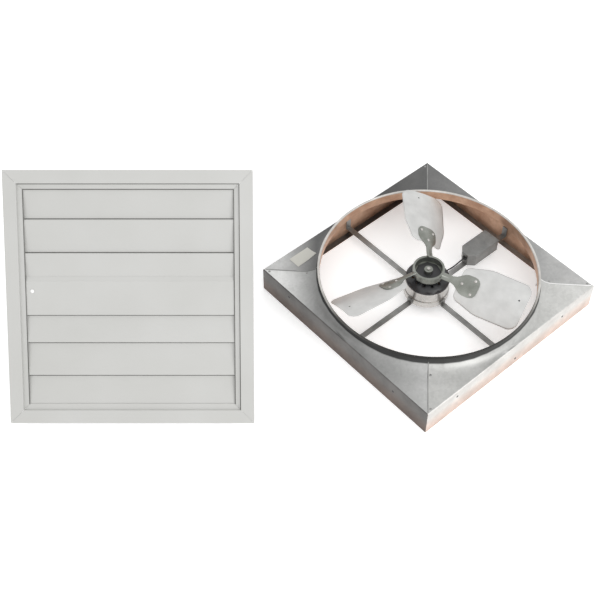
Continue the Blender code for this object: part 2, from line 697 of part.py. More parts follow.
def louvers(frame, paint):
    ear_u, ear_v = tilt(EAR_REACH, EAR_RISE)
    pin_length = LOUVER_HALF_LENGTH + END_SPACE + FLANGE_SHEET + PIN_REACH
    tie_far = EAR_SHEET / 2 + GAP + TIE_SHEET + PIN_REACH
    shared = None
    for number, height in enumerate(hinge_heights(), 1):
        turn = 0 if height > 0 else pi
        axis = empty(f"louver_axis_{number}", (0, HINGE_DEPTH, height), (0, turn, 0), frame)
        if shared is None:
            louver = piece(f"louver_{number}", louver_shape(), paint, axis, smooth=False)
            shared = louver.data
            parts = {"louver_pins": rod(PIN_RADIUS, -pin_length, pin_length, along_x),
                     "louver_ear": extruded(ear_outline(), -EAR_SHEET / 2, EAR_SHEET / 2, down),
                     "tie_pin": rod(TIE_PIN_RADIUS, 0, tie_far,
                                    lambda u, v, w: (w, ear_v + u, v - ear_u))}
        else:
            louver = piece(f"louver_{number}", shared, paint, axis, smooth=False)
        for name in parts:
            added = piece(f"{name}_{number}", parts[name], paint, axis, smooth=False)
            parts[name] = added.data
            cut(louver, added, "UNION")


def tie_bars(frame, steel):
    """Each bar lies beside the ears of its bank, with a hole for every pin."""
    ear_u, ear_v = tilt(EAR_REACH, EAR_RISE)
    for name, turn in (("tie_bar_upper", 0), ("tie_bar_lower", pi)):
        side = empty(f"{name}_side", (0, 0, 0), (0, turn, 0), frame)
        heights = [FIRST_HINGE + HINGE_PITCH * i - ear_u for i in range(LOUVERS_PER_BANK)]
        back = HINGE_DEPTH + ear_v
        half = TIE_WIDTH / 2
        low = heights[0] - TIE_END
        high = heights[-1] + TIE_END
        outline = [(back - half / 2, low), (back + half / 2, low), (back + half, low + half),
                   (back + half, high - half), (back + half / 2, high), (back - half / 2, high),
                   (back - half, high - half), (back - half, low + half)]
        near = EAR_SHEET / 2 + GAP
        bar = piece(name, extruded(outline, near, near + TIE_SHEET, lambda u, v, w: (w, u, v)),
                    steel, side, smooth=False)
        holes = [rod(TIE_PIN_RADIUS + PIN_PLAY, near - OVERRUN, near + TIE_SHEET + OVERRUN,
                     lambda u, v, w, h=height: (w, back + u, h + v)) for height in heights]
        cut(bar, piece(f"{name}_holes", join_shapes(holes), steel, side, smooth=False))


def helix_points():
    count = SPRING_TURNS * SPRING_POINTS_PER_TURN + 1
    length = SPRING_TURNS * SPRING_PITCH
    points = []
    for i in range(count):
        share = i / (count - 1)
        turn = 2 * pi * SPRING_TURNS * share
        points.append(Vector((length * (share - 1 / 2), SPRING_MEAN_RADIUS * cos(turn),
                              SPRING_MEAN_RADIUS * sin(turn))))
    return points


def least_gap(points):
    """The smallest clear distance between stretches of wire a half turn or more apart."""
    apart = SPRING_POINTS_PER_TURN // 2
    nearest = min((points[i] - points[j]).length
                  for i in range(len(points)) for j in range(i + apart, len(points)))
    return nearest - 2 * SPRING_WIRE_RADIUS


def return_springs(frame, steel):
    points = helix_points()
    print("least gap of a spring to itself, mm:", round(least_gap(points) * 1000, 3))
    middle = LOUVER_HALF_LENGTH + END_SPACE / 2
    for name, turn in (("return_spring_upper", 0), ("return_spring_lower", pi)):
        side = empty(f"{name}_side", (0, 0, 0), (0, turn, 0), frame)
        curve = bpy.data.curves.new(name, "CURVE")
        curve.dimensions = "3D"
        curve.bevel_depth = SPRING_WIRE_RADIUS
        curve.bevel_resolution = 1
        curve.use_fill_caps = True
        path = curve.splines.new("POLY")
        path.points.add(len(points) - 1)
        for knot, point in zip(path.points, points):
            knot.co = (*point, 1)
        curve.materials.append(steel)
        made = bpy.data.objects.new(name, curve)
        made.parent = side
        made.location = (middle, HINGE_DEPTH, FIRST_HINGE)
        bpy.context.collection.objects.link(made)


def shutter_height_on_floor():
    """Height of the shutter's middle when its lowest edge touches the floor."""
    flange = SHUTTER_HEIGHT / 2 * cos(SHUTTER_LEAN) + FLANGE_SHEET * sin(SHUTTER_LEAN)
    collar = ((SHUTTER_HEIGHT / 2 - FLANGE + FLANGE_SHEET) * cos(SHUTTER_LEAN)
              + COLLAR_DEPTH * sin(SHUTTER_LEAN))
    return max(flange, collar)


def build():
    clear_scene()
    galvanised = material("Galvanised steel", (0.50, 0.50, 0.48), 0.35, 0.9)
    bar_steel = material("Strut steel", (0.42, 0.42, 0.42), 0.45, 0.9)
    black = material("Black enamel", (0.03, 0.03, 0.03), 0.45, 0.1)
    bright = material("Bright steel", (0.62, 0.60, 0.58), 0.25, 1.0)
    copper = material("Copper winding", (0.55, 0.27, 0.12), 0.4, 0.9)
    silver = material("Plated spider", (0.60, 0.58, 0.55), 0.3, 1.0)
    aluminium = material("Blade aluminium", (0.78, 0.78, 0.77), 0.35, 0.8)
    rubber = material("Black rubber", (0.03, 0.03, 0.03), 0.6, 0.0)
    paint = material("Shutter paint", (0.80, 0.80, 0.78), 0.4, 0.0)

    fan = empty("fan", (FAN_X, 0, 0), (0, 0, HOUSING_TURN))
    housing_panels(fan, galvanised)
    orifice_ring(fan, galvanised)
    struts(fan, bar_steel)
    motor_band(fan, bright)
    middle = motor(fan, black, bright, copper)
    square = empty("fan_square", (FAN_X, 0, 0))
    turning_parts(square, middle, bright, silver, aluminium)
    wiring_box(fan, galvanised, rubber, bright)
    motor_lead(fan, rubber)

    shutter = empty("shutter", (SHUTTER_X, -SHUTTER_FORWARD, shutter_height_on_floor()),
                    (-SHUTTER_LEAN, 0, 0))
    shutter_frame(shutter, paint)
    center_panel(shutter, paint)
    louvers(shutter, paint)
    tie_bars(shutter, bar_steel)
    return_springs(shutter, bright)


build()
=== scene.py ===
"""Finishes and fine pieces for the square fan and the louvered shutter that stands beside it."""
import json
from math import asin, atan2, cos, pi, radians, sin, sqrt

import bmesh
import bpy
from mathutils import Matrix, Vector
from mathutils.bvhtree import BVHTree

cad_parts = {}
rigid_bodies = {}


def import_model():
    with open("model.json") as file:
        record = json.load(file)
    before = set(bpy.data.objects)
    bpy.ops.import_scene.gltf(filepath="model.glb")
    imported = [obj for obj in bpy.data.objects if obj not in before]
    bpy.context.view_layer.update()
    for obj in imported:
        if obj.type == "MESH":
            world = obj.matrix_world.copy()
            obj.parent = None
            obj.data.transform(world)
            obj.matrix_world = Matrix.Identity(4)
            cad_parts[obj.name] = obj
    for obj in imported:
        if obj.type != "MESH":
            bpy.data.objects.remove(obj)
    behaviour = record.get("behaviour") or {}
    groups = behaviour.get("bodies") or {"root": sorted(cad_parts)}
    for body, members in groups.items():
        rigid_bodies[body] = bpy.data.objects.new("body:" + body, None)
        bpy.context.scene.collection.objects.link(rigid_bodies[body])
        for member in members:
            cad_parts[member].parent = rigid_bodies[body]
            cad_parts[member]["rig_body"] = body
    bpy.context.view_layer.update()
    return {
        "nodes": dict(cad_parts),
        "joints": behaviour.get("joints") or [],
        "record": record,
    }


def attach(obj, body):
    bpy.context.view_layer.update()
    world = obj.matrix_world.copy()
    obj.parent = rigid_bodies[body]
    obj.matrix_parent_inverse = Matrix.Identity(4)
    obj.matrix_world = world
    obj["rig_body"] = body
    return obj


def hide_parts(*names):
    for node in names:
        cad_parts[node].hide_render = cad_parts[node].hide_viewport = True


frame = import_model()
NODES = frame["nodes"]

# Places read from the frame
MOUNTS = {mount["name"]: mount for mount in frame["record"]["mounts"]}
JOINTS = {joint["name"]: joint for joint in frame["joints"]}
FAN_CENTRE = Vector((JOINTS["fan_spin"]["pos_m"][0], JOINTS["fan_spin"]["pos_m"][1], 0))
BLADE_HEIGHT = JOINTS["fan_spin"]["pos_m"][2]
HEM_ARM = Vector(MOUNTS["ceiling_hem_1"]["pos_m"]) - FAN_CENTRE
HOUSING_TURN = atan2(HEM_ARM.y, HEM_ARM.x)
SHUTTER_TOP = Vector(MOUNTS["shutter_flange_top"]["pos_m"])
SHUTTER_FOOT = Vector(MOUNTS["shutter_flange_bottom"]["pos_m"])
SHUTTER_BACK = Vector(MOUNTS["shutter_flange_top"]["axis"])
SHUTTER_LEAN = asin(-SHUTTER_BACK.z)
SHUTTER_UP = Vector((0, sin(SHUTTER_LEAN), cos(SHUTTER_LEAN)))
SHUTTER_ACROSS = Vector((1, 0, 0))
QUARTER = pi / 2
SKYWARD = Vector((0, 0, 1))

# Where rays start that look for a surface: above the floor, and before the shutter
RAY_HEIGHT = 1
RAY_BEFORE = 0.05

# The housing and its orifice, in metres like every length here
HALF_SIDE = 0.432
SKIRT_DEPTH = 0.108
SHEET = 0.0015
THROAT_RISE = 0.045
ORIFICE_RADIUS = 0.400
RING_WALL = 0.0015
RING_DEPTH = 0.036
RING_STEPS = 160
BEAD_RADIUS = 0.0045
BEAD_STEPS = 12
SEAT = 0.0003
THROAT_RADIUS = ORIFICE_RADIUS + RING_WALL + SEAT + SHEET

# Seams and plates that lie on the housing, with their fastenings
STRIP_SHEET = 0.0006
STRIP_STEPS = (80, 6)
SEAM_WIDTH = 0.0035
SEAM_LIFT = 0.0011
SEAM_PAST_THROAT = 0.006
SEAM_BEFORE_CORNER = 0.010
SEAM_RIVETS_AT = (0.446, 0.586)
SEAM_RIVET_ASIDE = 0.009
SEAM_RIVET_RADIUS = 0.0045
PLATE_REACH = 0.472
PLATE_TURN = radians(126.5)
PLATE_SIZE = (0.090, 0.050)
PLATE_LIFT = 0.0010
SCREWS_AT = ((-0.285, 0.078), (0.265, 0.066))
LOW_SCREW_AT = (0.019, 0.028)
SCREW_RADIUS = 0.0048

# Blades and the spider that carries them
BLADE_TIP = 0.381
BLADE_ROOT = 0.122
BLADE_SHEET = 0.0016
BLADE_STEPS = (72, 28)
BLADE_ANGLES = (radians(90), radians(210), radians(330))
ROOT_HALF_CHORD = 0.066
FULL_HALF_CHORD = 0.090
FULL_CHORD_AT = 0.235
TIP_CORNER = 0.036
ROOT_CORNER = 0.024
ROOT_PITCH = radians(34)
TIP_PITCH = radians(25)
CAMBER = 0.011
BLADE_HOLE_AT = (0.350, 0.022)
BLADE_HOLE_RADIUS = 0.0035
ARM_SHEET = 0.0025
ARM_SEAT = 0.0009
ARM_RIVETS_AT = ((0.137, 0.0), (0.180, -0.026), (0.180, 0.026))
ARM_RIVET_RADIUS = 0.0055
RECESS_SIDES = 8
RECESS_FOOT = 0.048
RECESS_TOP = 0.046
RECESS_DISC_SHEET = 0.001
RECESS_DROP = 0.0090

# The shutter
SHUTTER_WIDTH = 0.842
SHUTTER_HEIGHT = 0.872
FLANGE = 0.0457
LIP = 0.0215
LIP_RECESS = 0.008
SHADOW_LINE_WIDTH = 0.0030
THIN_STRIP_SHEET = 0.0003
CENTER_PANEL_HEIGHT = 0.117
PANEL_SLOPE = 0.016
SLOPE_GAP = 0.0004
SLOPE_CHECK_SHARES = (0.1, 0.5, 1)
CURL_RADIUS = 0.0035
CLEAT_WIDTH = 0.012
WHITE_DOT_AT = (-0.3337, 0.0090, 0.024)
WHITE_DOT_RADIUS = 0.0066

# Heights of domed heads, as shares of their radius
RIVET_SHARE = 0.4
SCREW_SHARE = 0.25
BLADE_HOLE_SHARE = 0.06
ARM_RIVET_SHARE = 0.45
WHITE_DOT_SHARE = 0.35

# Steps of a domed head and of a softened edge, and the angle past which an edge is softened
HEAD_STEPS = (16, 8)
EDGE_STEPS = 2
EDGE_ANGLE = radians(40)

# How near two corners are to be one, and two faces' directions to be one flat
MERGE_REACH = 0.00001
FLAT_ANGLE = radians(0.5)

# How far a face leans outwards, inwards or down to count as facing there
OUTWARD_LEAST = 0.6
INWARD_LEAST = 0.3
DOWNWARD_LEAST = 0.5
RING_INWARD_LEAST = 0.5

# Widths of softened edges
SHELL_EDGE = 0.0006
BAND_EDGE = 0.0005
PANEL_EDGE = 0.0004
BOX_EDGE = 0.0003
BAR_EDGE = 0.0002
SHARP = 0

# Angles, in degrees, up to which faces that meet are shaded as one
FLAT = 0
FOLDED = 25
LAID = 30
TURNED = 35
ROLLED = 40
DOMED = 50
ROUND = 60

# Camera, fitted to the housing's corners
CAMERA_LOW = radians(50.6)
CAMERA_REACH = 4.332
CAMERA_AIM = Vector((-0.4719, -0.1077, SKIRT_DEPTH))
CAMERA_LENS = 71.4
CAMERA_SENSOR = 36

# Floor, sky and lamps
FLOOR_SIZE = 14.0
FLOOR_PALENESS = 0.93
FLOOR_ROUGHNESS = 0.9
FLOOR_LIFT = 0.40
SKY_LIGHT = 0.92
SKY_SEEN = 1.05
LAMP_SIZE = 3.0
LAMPS = {"Key": ((2.9, -2.6, 2.4), (0.3, 0, 0.1), 62), "Fill": ((-2.6, -2.0, 2.2), (0, 0, 0.1), 10)}

# Patterns of the finishes: scales for each metre, and bumps with their depth
SPANGLE_SCALE = 110
RING_SPANGLE_SCALE = 140
BOX_SPANGLE_SCALE = 160
CLOUDS = {"Scale": 13.0, "Detail": 5.0, "Roughness": 0.6}
ROLLING_GRAIN = {"Scale": 420.0, "Detail": 2.0}
DRAWN_GRAIN = {"Scale": 1.0, "Detail": 3.0}
DRAWN_STRETCH = (60, 900, 60)
BLADE_STRETCH = (25, 25, 500)
DULL_PATCHES = {"Scale": 22.0, "Detail": 3.0}
PAINT_PATCHES = {"Scale": 3.0, "Detail": 3.0}
PEEL_SCALE = 900.0
PAINT_PEEL_SCALE = 700.0
SHADOW_LINE_PEEL_SCALE = 1500.0
PEEL_DETAIL = 2.0
SPANGLE_BUMP = {"strength": 0.12, "distance": 0.0003}
DRAWN_BUMP = {"strength": 0.08, "distance": 0.0002}
PEEL_BUMP = {"strength": 0.15, "distance": 0.0001}
CRYSTAL_SHADE = 0.90
SPANGLE_ROUGHNESS = (0.36, 0.50)
DRAWN_ROUGHNESS_SPREAD = (-0.07, 0.08)
PEEL_ROUGHNESS_SPREAD = (-0.04, 0.06)
ZINC_METALLIC = 0.7
PLATED_METALLIC = 0.9
BLADE_METALLIC = 0.5

# Where the painted shades of the housing start and end, from the fan's middle or the skirts' fold
PANEL_SHADE_FROM = 0.02
PANEL_SHADE_TO = 0.54
THROAT_SHADE_RISE = 0.020
THROAT_SHADE_FADE = 0.004
THROAT_SHADE_LEVEL = 0.12
RING_DARK_BEFORE = 0.36
RING_PALE_BEFORE = 0.10


def node_tree(name):
    """A new material, its node tree and its shader."""
    made = bpy.data.materials.new(name)
    made.use_nodes = True
    tree = made.node_tree
    return made, tree, tree.nodes["Principled BSDF"]


def add(tree, kind, **settings):
    """A new node, with its sockets or its own settings filled in by name."""
    node = tree.nodes.new(kind)
    for name, value in settings.items():
        if name in node.inputs:
            node.inputs[name].default_value = value
        else:
            setattr(node, name, value)
    return node


def noise(tree, place, **settings):
    """A noise pattern over a place."""
    node = add(tree, "ShaderNodeTexNoise", **settings)
    tree.links.new(place, node.inputs["Vector"])
    return node.outputs["Fac"]


def ramp(tree, source, low, high, start=0.3, end=0.7):
    """A colour that goes from low to high as its source goes from start to end."""
    node = tree.nodes.new("ShaderNodeValToRGB")
    node.color_ramp.elements[0].position = start
    node.color_ramp.elements[1].position = end
    node.color_ramp.elements[0].color = low
    node.color_ramp.elements[1].color = high
    tree.links.new(source, node.inputs["Fac"])
    return node.outputs["Color"]


def grey(level):
    """A neutral colour."""
    return (level, level, level, 1)


def bump(tree, shader, height, strength, distance):
    """Raise a shader's surface by a pattern."""
    node = add(tree, "ShaderNodeBump", Strength=strength, Distance=distance)
    tree.links.new(height, node.inputs["Height"])
    tree.links.new(node.outputs["Normal"], shader.inputs["Normal"])


def multiplied(tree, first, second):
    """One colour multiplied by another."""
    node = tree.nodes.new("ShaderNodeMix")
    node.data_type = "RGBA"
    node.blend_type = "MULTIPLY"
    node.inputs["Factor"].default_value = 1.0
    tree.links.new(first, node.inputs["A"])
    tree.links.new(second, node.inputs["B"])
    return node.outputs["Result"]


def shaded(tree, place, base, shade):
    """Paint shade and tinted reflections into a colour along a direction, by evenly spaced colours from
    start to end.
    """
    direction, start, end, colours = shade
    along = add(tree, "ShaderNodeVectorMath", operation="DOT_PRODUCT")
    along.inputs[1].default_value = direction
    tree.links.new(place, along.inputs[0])
    span = add(tree, "ShaderNodeMapRange")
    span.inputs["From Min"].default_value = start
    span.inputs["From Max"].default_value = end
    tree.links.new(along.outputs["Value"], span.inputs["Value"])
    stops = tree.nodes.new("ShaderNodeValToRGB")
    tree.links.new(span.outputs["Result"], stops.inputs["Fac"])
    for i in range(2, len(colours)):
        stops.color_ramp.elements.new(i / len(colours))
    for i, colour in enumerate(colours):
        stops.color_ramp.elements[i].position = i / (len(colours) - 1)
        stops.color_ramp.elements[i].color = colour
    return multiplied(tree, base, stops.outputs["Color"])


def spangled_steel(name, dark, light, spangle=SPANGLE_SCALE, shades=()):
    """Zinc-coated sheet: soft crystals, cloudy stains and a faint rolling grain, with any painted shades
    multiplied in.
    """
    made, tree, shader = node_tree(name)
    shader.inputs["Metallic"].default_value = ZINC_METALLIC
    place = add(tree, "ShaderNodeTexCoord").outputs["Object"]
    cells = add(tree, "ShaderNodeTexVoronoi", Scale=spangle)
    tree.links.new(place, cells.inputs["Vector"])
    base = ramp(tree, noise(tree, place, **CLOUDS), (*dark, 1), (*light, 1))
    for shade in shades:
        base = shaded(tree, place, base, shade)
    crystals = ramp(tree, cells.outputs["Color"], grey(CRYSTAL_SHADE), grey(1), start=0.2, end=0.8)
    tree.links.new(multiplied(tree, base, crystals), shader.inputs["Base Color"])
    smooth, dull = SPANGLE_ROUGHNESS
    tree.links.new(ramp(tree, cells.outputs["Color"], grey(smooth), grey(dull), start=0.1, end=0.9),
                   shader.inputs["Roughness"])
    bump(tree, shader, noise(tree, place, **ROLLING_GRAIN), **SPANGLE_BUMP)
    return made


def plain_metal(name, dark, light, rough, metallic=PLATED_METALLIC, stretch=DRAWN_STRETCH):
    """Bare or plated metal with a drawn grain and small dull patches."""
    made, tree, shader = node_tree(name)
    shader.inputs["Metallic"].default_value = metallic
    place = add(tree, "ShaderNodeTexCoord").outputs["Object"]
    drawn = add(tree, "ShaderNodeMapping", Scale=stretch)
    tree.links.new(place, drawn.inputs["Vector"])
    grain = noise(tree, drawn.outputs["Vector"], **DRAWN_GRAIN)
    tree.links.new(ramp(tree, noise(tree, place, **DULL_PATCHES), (*dark, 1), (*light, 1)),
                   shader.inputs["Base Color"])
    under, over = DRAWN_ROUGHNESS_SPREAD
    tree.links.new(ramp(tree, grain, grey(rough + under), grey(rough + over)), shader.inputs["Roughness"])
    bump(tree, shader, grain, **DRAWN_BUMP)
    return made


def coated(name, dark, light, rough, peel_scale=PEEL_SCALE):
    """Paint, rubber and the painted shadow lines, with a fine orange-peel and a little unevenness."""
    made, tree, shader = node_tree(name)
    place = add(tree, "ShaderNodeTexCoord").outputs["Object"]
    peel = noise(tree, place, Scale=peel_scale, Detail=PEEL_DETAIL)
    tree.links.new(ramp(tree, noise(tree, place, **PAINT_PATCHES), (*dark, 1), (*light, 1)),
                   shader.inputs["Base Color"])
    under, over = PEEL_ROUGHNESS_SPREAD
    tree.links.new(ramp(tree, peel, grey(rough + under), grey(rough + over)), shader.inputs["Roughness"])
    bump(tree, shader, peel, **PEEL_BUMP)
    return made


def panel_light(side, levels):
    """Painted light and shade as grey levels along one half of the fan: side is -1 from its left corner, 1
    to its right one.
    """
    ends = sorted(FAN_CENTRE.x + side * reach for reach in (PANEL_SHADE_FROM, PANEL_SHADE_TO))
    return ((1, 0, 0), *ends, [grey(level) for level in levels])


def skirt_reflection(low, middle, upper, top):
    """Painted reflection up a skirt: warm at its foot and grey at its fold."""
    return (SKYWARD, 0, SKIRT_DEPTH, ((*low, 1), (*middle, 1), grey(upper), grey(top)))


# A painted dark reflection up the throat inside the flare, and the ring's painted shade from its near side
# back
THROAT_START = SKIRT_DEPTH + THROAT_SHADE_RISE
THROAT_SHADE = (SKYWARD, THROAT_START, THROAT_START + THROAT_SHADE_FADE, (grey(1), grey(THROAT_SHADE_LEVEL)))
RING_SHADE = ((0, 1, 0), FAN_CENTRE.y - RING_DARK_BEFORE, FAN_CENTRE.y - RING_PALE_BEFORE,
              (grey(0.06), grey(0.22), grey(1)))

# Painted light and shade on each panel and skirt: grey levels along the panels, a painted dark reflection up
# their throat, painted reflections up the skirts
PANEL_SHADES = {
    "far_right": (THROAT_SHADE, panel_light(1, (0.34, 0.44, 0.52, 0.72, 1))),
    "far_left": (THROAT_SHADE, panel_light(-1, (1, 0.25, 0.16, 0.17, 0.25))),
    "near_left": (THROAT_SHADE, panel_light(-1, (1, 0.36, 0.32, 0.46, 0.68))),
    "near_right": (THROAT_SHADE, panel_light(1, (0.76, 0.68, 0.60, 0.84, 1))),
    "left_skirt": (skirt_reflection((0.80, 0.60, 0.52), (0.86, 0.72, 0.66), 0.90, 0.84),),
    "right_skirt": (skirt_reflection((0.96, 0.76, 0.68), (1.0, 0.86, 0.80), 1, 0.96),),
}

# Each panel's and skirt's finish: its name, its darkest and its lightest colour; these differ as painted
# light and shade, lit and shaded copies of one galvanised sheet
PANEL_COLOURS = {
    "far_right": ("Galvanised far right panel", (0.46, 0.46, 0.455), (0.58, 0.58, 0.57)),
    "far_left": ("Galvanised far left panel", (0.50, 0.50, 0.495), (0.60, 0.60, 0.59)),
    "near_left": ("Galvanised near left panel", (0.70, 0.705, 0.69), (0.81, 0.81, 0.80)),
    "near_right": ("Galvanised near right panel", (0.62, 0.62, 0.60), (0.73, 0.73, 0.71)),
    "left_skirt": ("Galvanised left skirt", (0.122, 0.118, 0.113), (0.195, 0.186, 0.178)),
    "right_skirt": ("Galvanised right skirt", (0.57, 0.56, 0.54), (0.74, 0.73, 0.705)),
}

FINISHES = {side: spangled_steel(*colours, shades=PANEL_SHADES[side])
            for side, colours in PANEL_COLOURS.items()}
FINISHES |= {
    # The inside's orange-brown is a painted warm reflection on galvanised walls
    "inside": spangled_steel("Galvanised inside, painted warm reflection", (0.40, 0.22, 0.14), (0.66, 0.44, 0.31)),
    "ring": spangled_steel("Galvanised orifice", (0.52, 0.50, 0.47), (0.72, 0.70, 0.67),
                           RING_SPANGLE_SCALE, (RING_SHADE,)),
    "box": spangled_steel("Galvanised box", (0.18, 0.18, 0.176), (0.30, 0.30, 0.29), BOX_SPANGLE_SCALE),
    "strut": plain_metal("Strut zinc", (0.26, 0.26, 0.255), (0.40, 0.40, 0.39), 0.42),
    "bright": plain_metal("Bright steel", (0.45, 0.44, 0.42), (0.62, 0.60, 0.58), 0.30),
    "spider": plain_metal("Plated spider", (0.20, 0.21, 0.187), (0.31, 0.32, 0.295), 0.34),
    "blade": plain_metal("Blade aluminium", (0.56, 0.56, 0.55), (0.65, 0.65, 0.64), 0.46, BLADE_METALLIC,
                         BLADE_STRETCH),
    "copper": plain_metal("Winding copper", (0.40, 0.18, 0.07), (0.62, 0.32, 0.16), 0.4),
    "black": coated("Black enamel", (0.012, 0.012, 0.013), (0.03, 0.03, 0.032), 0.38),
    "rubber": coated("Black rubber", (0.015, 0.015, 0.015), (0.03, 0.03, 0.03), 0.55),
    "paint": coated("Shutter paint", (0.525, 0.525, 0.505), (0.565, 0.565, 0.55), 0.45, PAINT_PEEL_SCALE),
    # Dark strips that paint the shadows at the shutter's lips and steps
    "shadow_line": coated("Grey painted shadow line", (0.10, 0.10, 0.095), (0.17, 0.17, 0.16), 0.8, SHADOW_LINE_PEEL_SCALE),
    # White for the dot on the centre panel and for the painted highlight on one seam
    "white_dot_and_highlight": coated("White dot", (0.90, 0.90, 0.89), (0.95, 0.95, 0.94), 0.4),
    "blank": coated("Blank plate", (0.56, 0.55, 0.50), (0.64, 0.63, 0.58), 0.5),
}

# The record's slot for each finish
SLOTS = {finish: "galvanised" for finish in (*PANEL_COLOURS, "inside", "ring", "box", "blank")}
SLOTS |= {"strut": "strut_steel", "bright": "bright_steel", "spider": "plated_spider",
          "blade": "blade_aluminium", "copper": "copper_winding", "black": "black_enamel",
          "rubber": "black_rubber", "shadow_line": "black_rubber", "paint": "shutter_paint",
          "white_dot_and_highlight": "shutter_paint"}


def settle(name, shape, finish, body, smooth, replaced=()):
    """Turn a bmesh into a finished piece that rides on its body."""
    mesh = bpy.data.meshes.new(name)
    shape.to_mesh(mesh)
    shape.free()
    mesh.materials.append(FINISHES[finish])
    if smooth:
        mesh.shade_smooth()
        mesh.set_sharp_from_angle(angle=radians(smooth))
    made = bpy.data.objects.new(name, mesh)
    bpy.context.scene.collection.objects.link(made)
    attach(made, body)
    if replaced:
        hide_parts(*replaced)
    return made


def merged_copy(node):
    """A joined copy of a frame solid, with its flat faces made whole again."""
    shape = bmesh.new()
    shape.from_mesh(NODES[node].data)
    bmesh.ops.remove_doubles(shape, verts=shape.verts, dist=MERGE_REACH)
    bmesh.ops.dissolve_limit(shape, angle_limit=FLAT_ANGLE, verts=shape.verts, edges=shape.edges)
    return shape


def search_tree(node):
    """A tree for finding where a ray meets a frame solid."""
    shape = merged_copy(node)
    tree = BVHTree.FromBMesh(shape)
    shape.free()
    return tree


def dressed(node, finish, edge, smooth):
    """Stand a fine-edged copy in for a frame solid."""
    made = settle(f"{node}_skin", merged_copy(node), finish, NODES[node]["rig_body"], smooth, (node,))
    if edge:
        soft = made.modifiers.new("Soft edges", "BEVEL")
        soft.width = edge
        soft.segments = EDGE_STEPS
        soft.limit_method = "ANGLE"
        soft.angle_limit = EDGE_ANGLE
    return made


def face_upwards(shape):
    """Turn an open sheet's faces to the sky."""
    bmesh.ops.recalc_face_normals(shape, faces=shape.faces)
    if sum(face.normal.z for face in shape.faces) < 0:
        bmesh.ops.reverse_faces(shape, faces=shape.faces)


def fan_place(radius, turn, height):
    """A point by radius and angle in the housing's own quarter-turned frame."""
    angle = HOUSING_TURN + turn
    return FAN_CENTRE + Vector((radius * cos(angle), radius * sin(angle), height))


def level_directions(turn):
    """The level directions away from the fan's middle at an angle, and square to that."""
    out = fan_place(1, turn, 0) - FAN_CENTRE
    return out, Vector((-out.y, out.x, 0))


def skin_height(trees, spot):
    """Height of the housing's top skin at a place."""
    heights = [SKIRT_DEPTH]
    for tree in trees:
        hit = tree.ray_cast(Vector((spot.x, spot.y, RAY_HEIGHT)), -SKYWARD)[0]
        if hit:
            heights.append(hit.z)
    return max(heights)


def draped(trees, name, middle, directions, size, lift, finish):
    """A thin sheet that follows the top skin; middle, directions and size are level."""
    along, across = directions
    shape = bmesh.new()
    grid = bmesh.ops.create_grid(shape, x_segments=STRIP_STEPS[0], y_segments=STRIP_STEPS[1], size=0.5)
    for vert in grid["verts"]:
        spot = middle + along * (vert.co.x * size[0]) + across * (vert.co.y * size[1])
        vert.co = Vector((spot.x, spot.y, skin_height(trees, spot) + lift))
    face_upwards(shape)
    bmesh.ops.solidify(shape, geom=shape.faces[:], thickness=STRIP_SHEET)
    bmesh.ops.recalc_face_normals(shape, faces=shape.faces)
    settle(name, shape, finish, "housing", LAID)


def rivet(name, spot, facing, radius, finish, body, share=RIVET_SHARE):
    """A low domed head standing on a surface."""
    shape = bmesh.new()
    bmesh.ops.create_uvsphere(shape, u_segments=HEAD_STEPS[0], v_segments=HEAD_STEPS[1], radius=radius)
    bmesh.ops.bisect_plane(shape, geom=shape.verts[:] + shape.edges[:] + shape.faces[:],
                           plane_co=(0, 0, 0), plane_no=(0, 0, -1), clear_outer=True)
    bmesh.ops.holes_fill(shape, edges=[edge for edge in shape.edges if edge.is_boundary], sides=0)
    bmesh.ops.scale(shape, vec=(1, 1, share), verts=shape.verts)
    turn = facing.to_track_quat("Z", "Y").to_matrix().to_4x4()
    bmesh.ops.transform(shape, matrix=Matrix.Translation(spot) @ turn, verts=shape.verts)
    bmesh.ops.recalc_face_normals(shape, faces=shape.faces)
    settle(name, shape, finish, body, DOMED)


def panels():
    """The four bent panels; each has one finish on top with painted light and shade, one on its skirt with
    painted shade and reflection, and one inside with a painted warm reflection.
    """
    sides = (("far_right", "right_skirt"), ("far_left", "left_skirt"),
             ("near_left", "left_skirt"), ("near_right", "right_skirt"))
    for i, (top, skirt) in enumerate(sides):
        made = dressed(f"housing_panel_{i + 1}", top, SHARP, FOLDED)
        made.data.materials.append(FINISHES[skirt])
        made.data.materials.append(FINISHES["inside"])
        out = level_directions(i * QUARTER)[0]
        for face in made.data.polygons:
            outward = face.normal.dot(out)
            upright = face.center.z < SKIRT_DEPTH
            if outward > OUTWARD_LEAST and upright:
                face.material_index = 1
            elif (outward < -INWARD_LEAST and upright) or face.normal.z < -DOWNWARD_LEAST:
                face.material_index = 2


